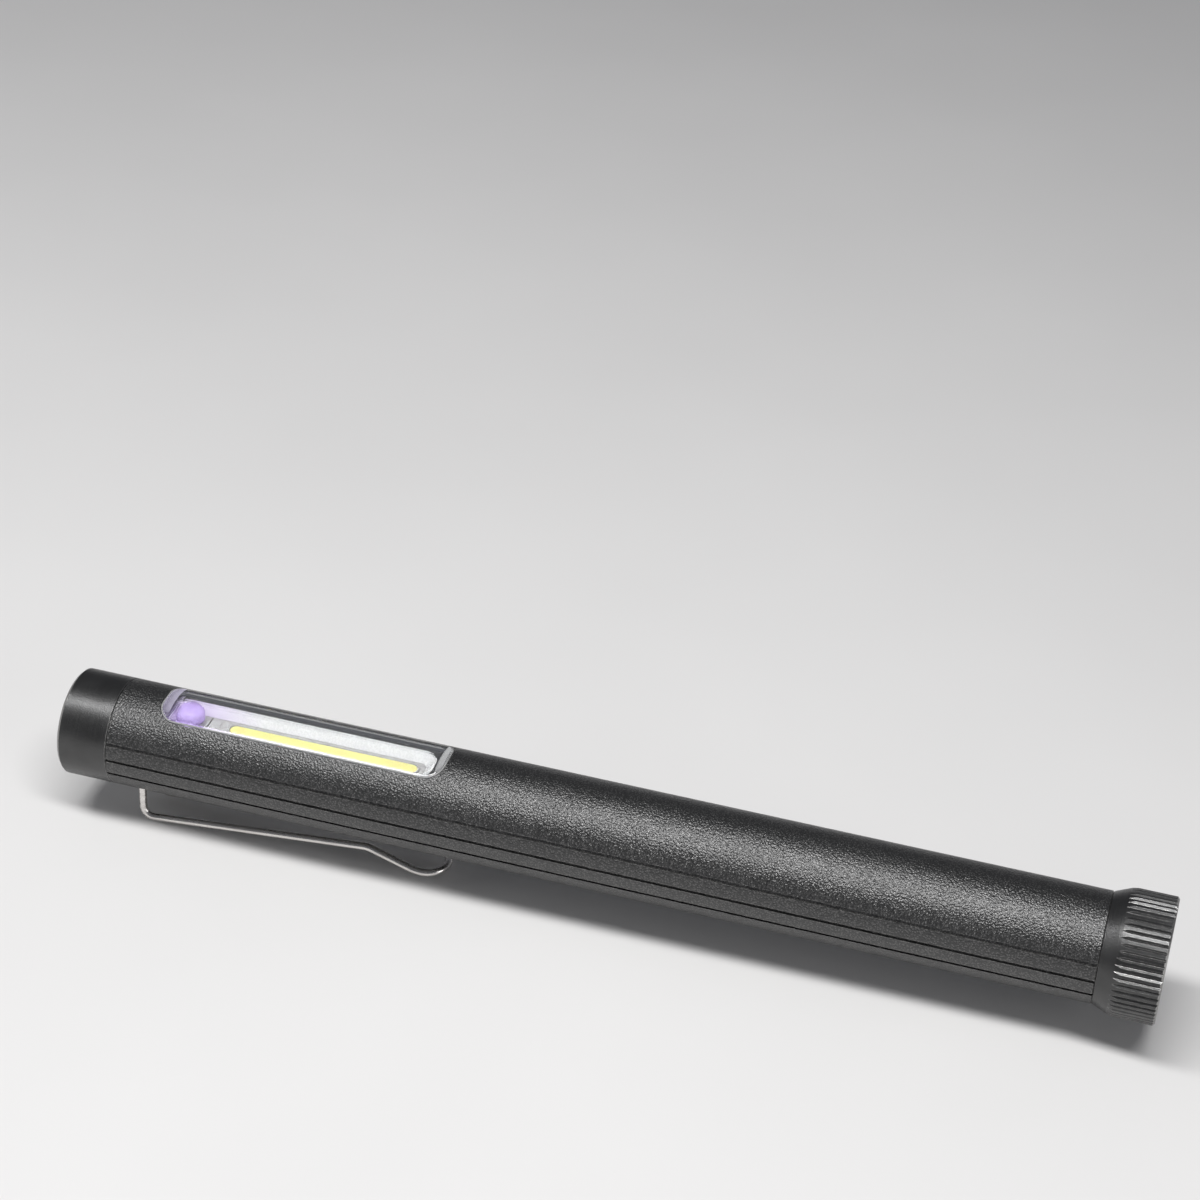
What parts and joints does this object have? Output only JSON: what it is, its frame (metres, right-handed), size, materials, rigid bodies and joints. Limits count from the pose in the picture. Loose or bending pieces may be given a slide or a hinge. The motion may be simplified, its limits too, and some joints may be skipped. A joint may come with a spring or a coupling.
{
  "type": "counterfeit detector pen",
  "caption": "Black aluminium pen light for checking banknotes: clear side window over a violet LED and a white light strip, wire pocket clip, push button and ribbed screw tail cap.",
  "frame": {"origin": "on the ground under the middle of the pen, level with the lowest point of the clip", "axes": "+X along the pen from the button end to the ribbed tail cap, +Z the way the window faces, the clip hangs towards -Z"},
  "size_m": [0.1582, 0.0176, 0.0216],
  "materials": {
    "anodised_aluminium": "black anodised, bead blasted",
    "turned_aluminium": "black anodised, fine turned",
    "button_plastic": "satin moulded",
    "seal_rubber": "soft nitrile",
    "spring_steel": "bright drawn wire, nickel plated",
    "lens_clear": "clear moulded polycarbonate",
    "pad_silicone": "soft pale silicone",
    "frame_black": "fine moulded",
    "reflector_white": "bright white moulded",
    "board_white": "white solder mask on an aluminium core",
    "phosphor_yellow": "translucent silicone with phosphor",
    "led_ceramic": "sintered white",
    "led_dome": "clear silicone dome over a violet emitter",
    "carrier_grey": "glass-filled nylon",
    "board_green": "green solder mask",
    "chip_black": "moulded epoxy",
    "resistor_ceramic": "thick-film chip",
    "coil_ferrite": "ferrite",
    "wire_red_black": "silicone insulation",
    "contact_brass": "nickel-flashed brass",
    "sleeve_plastic": "milky thin-wall tube",
    "cell_wrap": "plain shrink wrap",
    "plated_steel": "nickel plated"
  },
  "bodies": {
    "pen_body": {"barrel": "anodised_aluminium", "front_cap": "turned_aluminium", "front_cap_seal": "seal_rubber", "switch_body": "chip_black", "switch_board": "board_green", "board_ring": "contact_brass", "switch_leads": "wire_red_black", "lens": "lens_clear", "lens_pads": "pad_silicone", "window_frame": "frame_black", "reflector": "reflector_white", "strip_board": "board_white", "light_strip": "phosphor_yellow", "violet_board": "board_white", "violet_led_base": "led_ceramic", "violet_led_dome": "led_dome", "lamp_carrier": "carrier_grey", "lamp_leads": "wire_red_black", "driver_board": "board_green", "driver_chips": "chip_black", "driver_resistors": "resistor_ceramic", "driver_coil": "coil_ferrite", "ground_leaf": "contact_brass", "contact_holder": "carrier_grey", "front_contact": "contact_brass", "battery_sleeve": "sleeve_plastic", "front_cell": "cell_wrap", "front_cell_terminal": "plated_steel", "rear_cell": "cell_wrap", "rear_cell_terminal": "plated_steel", "clip_anchor": "carrier_grey"},
    "clip": {"clip": "spring_steel"},
    "push_button": {"push_button": "button_plastic", "switch_plunger": "button_plastic"},
    "spring_carriage": {"tail_spring": "plated_steel", "spring_seat": "contact_brass"},
    "tail_cap": {"tail_cap": "turned_aluminium", "tail_cap_seal": "seal_rubber", "tail_magnet": "plated_steel"}
  },
  "joints": [
    {"name": "clip_flex", "type": "hinge", "parent": "pen_body", "child": "clip", "pos_m": [-0.06815, 0, 0.0084], "axis": [0, 1, 0], "range_deg": [0, 4], "stiffness_Nm_per_rad": 1.7},
    {"name": "button_press", "type": "slide", "parent": "pen_body", "child": "push_button", "axis": [1, 0, 0], "range_m": [0, 0.0004], "stiffness_N_per_m": 3000, "springref_m": -0.0002},
    {"name": "tail_cap_advance", "type": "slide", "parent": "pen_body", "child": "spring_carriage", "axis": [1, 0, 0], "range_m": [0, 0.004]},
    {"name": "tail_cap_turn", "type": "hinge", "parent": "spring_carriage", "child": "tail_cap", "pos_m": [0.07085, 0, 0.0131], "axis": [1, 0, 0], "range_deg": [0, 1440]}
  ],
  "couplings": [
    {"joint": "tail_cap_turn", "follows": "tail_cap_advance", "rad_per_m": 6283.2}
  ]
}
